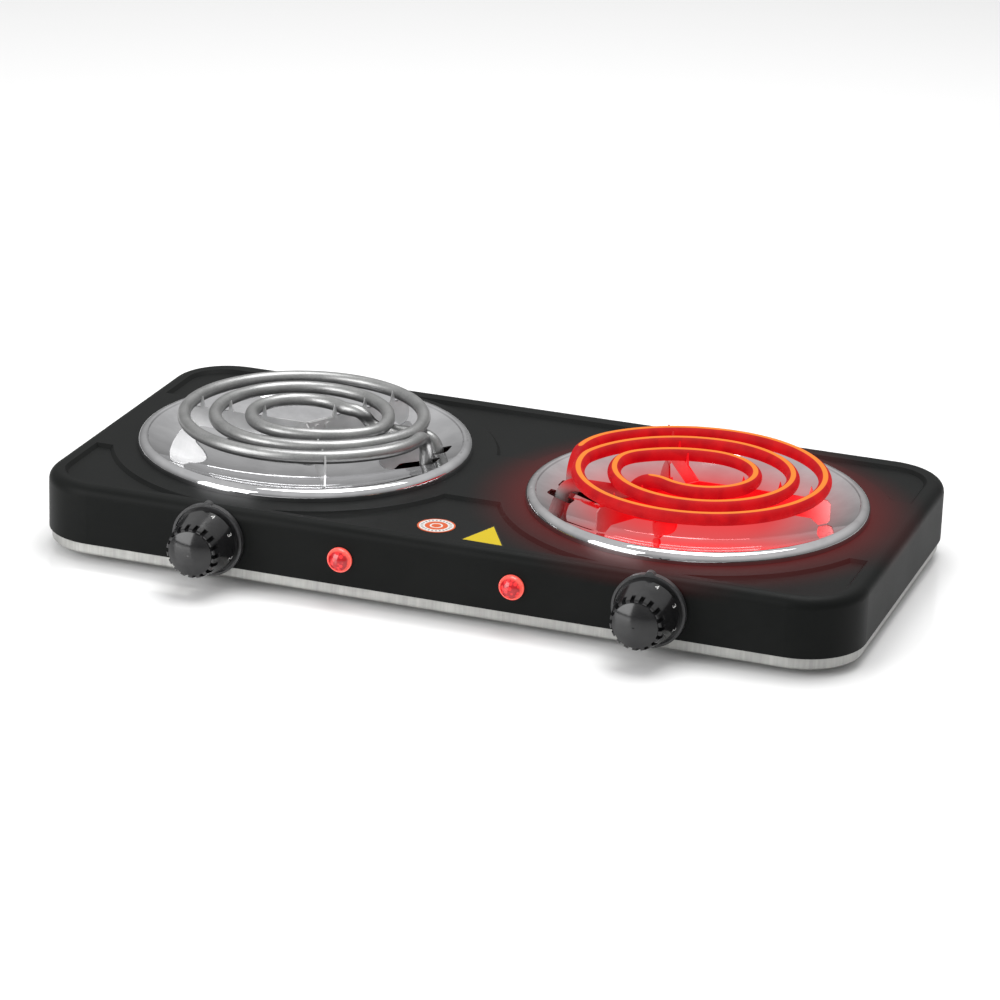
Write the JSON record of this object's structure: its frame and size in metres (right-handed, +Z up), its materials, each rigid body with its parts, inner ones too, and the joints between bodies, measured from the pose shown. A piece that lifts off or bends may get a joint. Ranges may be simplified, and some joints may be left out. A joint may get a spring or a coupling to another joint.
{
  "type": "double coil hot plate",
  "caption": "Countertop electric cooker with two spiral tube burners in chromed drip pans, turning control knobs, pilot lamps and coils that lift up for cleaning.",
  "frame": {"origin": "on the surface that the rubber feet stand on, under the middle of the whole object", "axes": "+X to the right along the length, -Y towards the knobs at the front, +Z up"},
  "size_m": [0.44, 0.2536, 0.0613],
  "materials": {
    "black_enamel": "satin black enamel on pressed steel",
    "galvanised_sheet": "galvanised sheet with fine vertical grain",
    "foot_rubber": "matt black rubber",
    "chrome_pan": "polished chrome plate",
    "heater_sheath": "satin grey heater sheath",
    "spider_steel": "bright sheet steel",
    "ceramic_white": "unglazed white ceramic",
    "nickel_steel": "nickel plated steel",
    "contact_brass": "brass contact strip",
    "knob_plastic": "glossy black phenolic with white numerals",
    "bezel_plastic": "satin black plastic",
    "lamp_red": "clear red plastic, lit",
    "bulb_glass": "clear glass",
    "zinc_screws": "zinc plated steel",
    "gland_plastic": "black nylon",
    "wire_brown": "brown heat resistant sleeve",
    "wire_blue": "blue heat resistant sleeve",
    "wire_green": "green and yellow sleeve",
    "label_orange": "printed paper disc, blank",
    "label_yellow": "printed paper triangle, blank"
  },
  "bodies": {
    "housing": {"left_drip_pan": "chrome_pan", "left_hinge_bracket": "spider_steel", "left_thermostat_stack": "ceramic_white", "left_thermostat_frame": "nickel_steel", "left_lamp_clip": "nickel_steel", "left_thermostat_blades": "contact_brass", "left_bezel": "bezel_plastic", "left_lamp_lens": "lamp_red", "left_lamp_bulb": "bulb_glass", "right_drip_pan": "chrome_pan", "right_hinge_bracket": "spider_steel", "right_thermostat_stack": "ceramic_white", "right_thermostat_frame": "nickel_steel", "right_lamp_clip": "nickel_steel", "right_thermostat_blades": "contact_brass", "right_bezel": "bezel_plastic", "right_lamp_lens": "lamp_red", "right_lamp_bulb": "bulb_glass", "top_housing": "black_enamel", "base_plate": "galvanised_sheet", "front_left_foot": "foot_rubber", "front_right_foot": "foot_rubber", "rear_left_foot": "foot_rubber", "rear_right_foot": "foot_rubber", "housing_posts": "zinc_screws", "base_screws": "zinc_screws", "thermostat_screws": "zinc_screws", "terminal_screws": "zinc_screws", "floor_screws": "zinc_screws", "terminal_block": "ceramic_white", "cable_gland": "gland_plastic", "gland_nut": "gland_plastic", "live_wires": "wire_brown", "load_wires": "wire_brown", "neutral_wires": "wire_blue", "earth_wire": "wire_green", "label_disc": "label_orange", "label_triangle": "label_yellow"},
    "left_knob": {"left_knob": "knob_plastic", "left_knob_shaft": "nickel_steel", "left_knob_spring": "nickel_steel"},
    "left_coil": {"left_coil_element": "heater_sheath", "left_hinge_bar": "spider_steel", "left_spider_strip": "spider_steel", "left_spider_arm": "spider_steel", "left_spider_rivets": "spider_steel", "left_end_beads": "ceramic_white", "left_coil_terminals": "nickel_steel", "left_coil_receptacles": "nickel_steel"},
    "right_knob": {"right_knob": "knob_plastic", "right_knob_shaft": "nickel_steel", "right_knob_spring": "nickel_steel"},
    "right_coil": {"right_coil_element": "heater_sheath", "right_hinge_bar": "spider_steel", "right_spider_strip": "spider_steel", "right_spider_arm": "spider_steel", "right_spider_rivets": "spider_steel", "right_end_beads": "ceramic_white", "right_coil_terminals": "nickel_steel", "right_coil_receptacles": "nickel_steel"}
  },
  "joints": [
    {"name": "left_knob_turn", "type": "hinge", "parent": "housing", "child": "left_knob", "pos_m": [-0.118, -0.09975, 0.02455], "axis": [0, -1, 0], "range_deg": [-25, 200]},
    {"name": "left_coil_tilt", "type": "hinge", "parent": "housing", "child": "left_coil", "pos_m": [-0.026, 0.01955, 0.034], "axis": [0, 1, 0], "range_deg": [0, 15]},
    {"name": "right_knob_turn", "type": "hinge", "parent": "housing", "child": "right_knob", "pos_m": [0.118, -0.09975, 0.02455], "axis": [0, -1, 0], "range_deg": [-25, 200]},
    {"name": "right_coil_tilt", "type": "hinge", "parent": "housing", "child": "right_coil", "pos_m": [0.026, -0.00195, 0.034], "axis": [0, -1, 0], "range_deg": [0, 15]}
  ]
}
